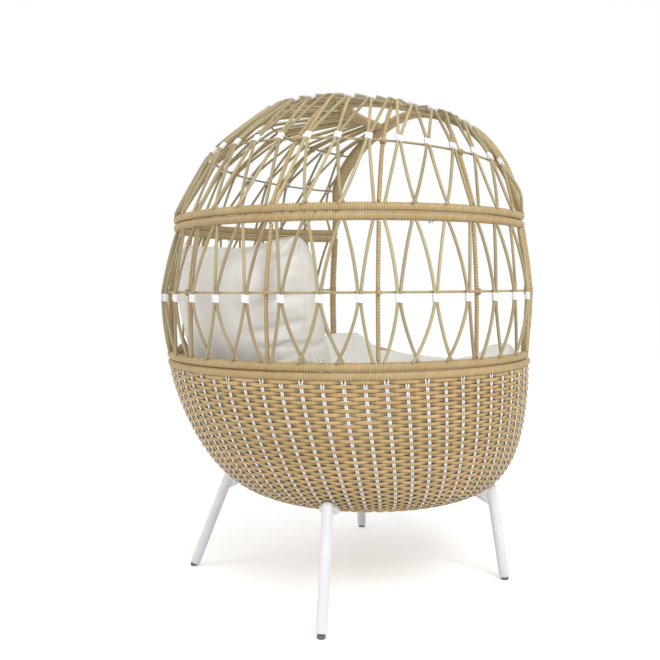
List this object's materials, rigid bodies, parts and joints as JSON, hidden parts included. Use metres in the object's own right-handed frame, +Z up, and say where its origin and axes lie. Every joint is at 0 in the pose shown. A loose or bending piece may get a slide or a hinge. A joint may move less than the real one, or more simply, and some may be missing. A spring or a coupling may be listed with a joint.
{
  "type": "egg-shaped garden chair",
  "caption": "Open egg-shaped outdoor chair with a woven basket seat, a domed lattice cage open at the front, splayed tube legs and loose cushions",
  "frame": {"origin": "on the floor, under the middle of the chair's overall box", "axes": "+Z up, -Y to the front that a person sits down through, +X to that person's left"},
  "size_m": [1.0684, 1.0606, 1.3885],
  "materials": {
    "wrapped_wicker": "flat wicker strip wound round a tube",
    "rod_wicker": "smooth round wicker rod, with white bindings",
    "woven_wicker": "plain weave of tan strips over white stakes",
    "white_paint": "white powder coat",
    "grey_plastic": "moulded",
    "zinc_steel": "zinc plated",
    "canvas": "off-white canvas over soft filling"
  },
  "bodies": {
    "root": {"dome_ring": "wrapped_wicker", "middle_upper_ring": "wrapped_wicker", "middle_lower_ring": "wrapped_wicker", "basket_rim": "wrapped_wicker", "front_arch": "wrapped_wicker", "crown_loop": "wrapped_wicker", "front_post_left": "wrapped_wicker", "front_post_right": "wrapped_wicker", "middle_rib_back": "wrapped_wicker", "dome_rib_back": "wrapped_wicker", "middle_rib_side_left": "wrapped_wicker", "dome_rib_side_left": "wrapped_wicker", "middle_rib_rear_side_left": "wrapped_wicker", "dome_rib_rear_side_left": "wrapped_wicker", "middle_rib_rear_left": "wrapped_wicker", "dome_rib_rear_left": "wrapped_wicker", "middle_rib_side_right": "wrapped_wicker", "dome_rib_side_right": "wrapped_wicker", "middle_rib_rear_side_right": "wrapped_wicker", "dome_rib_rear_side_right": "wrapped_wicker", "middle_rib_rear_right": "wrapped_wicker", "dome_rib_rear_right": "wrapped_wicker", "waist_hoop": "rod_wicker", "dome_lower_hoop": "rod_wicker", "dome_upper_hoop": "rod_wicker", "middle_lattice_left_1": "rod_wicker", "dome_lattice_left_1": "rod_wicker", "middle_lattice_left_2": "rod_wicker", "dome_lattice_left_2": "rod_wicker", "middle_lattice_left_3": "rod_wicker", "dome_lattice_left_3": "rod_wicker", "middle_lattice_left_4": "rod_wicker", "dome_lattice_left_4": "rod_wicker", "middle_lattice_right_1": "rod_wicker", "dome_lattice_right_1": "rod_wicker", "middle_lattice_right_2": "rod_wicker", "dome_lattice_right_2": "rod_wicker", "middle_lattice_right_3": "rod_wicker", "dome_lattice_right_3": "rod_wicker", "middle_lattice_right_4": "rod_wicker", "dome_lattice_right_4": "rod_wicker", "basket_shell": "woven_wicker", "leg_front_left": "white_paint", "glide_front_left": "grey_plastic", "leg_bolt_front_left": "zinc_steel", "leg_front_right": "white_paint", "glide_front_right": "grey_plastic", "leg_bolt_front_right": "zinc_steel", "leg_rear_left": "white_paint", "glide_rear_left": "grey_plastic", "leg_bolt_rear_left": "zinc_steel", "leg_rear_right": "white_paint", "glide_rear_right": "grey_plastic", "leg_bolt_rear_right": "zinc_steel", "upper_joint_bolt_left": "zinc_steel", "lower_joint_bolt_left": "zinc_steel", "upper_joint_bolt_right": "zinc_steel", "lower_joint_bolt_right": "zinc_steel", "back_cushion": "canvas", "seat_cushion": "canvas"}
  },
  "joints": []
}
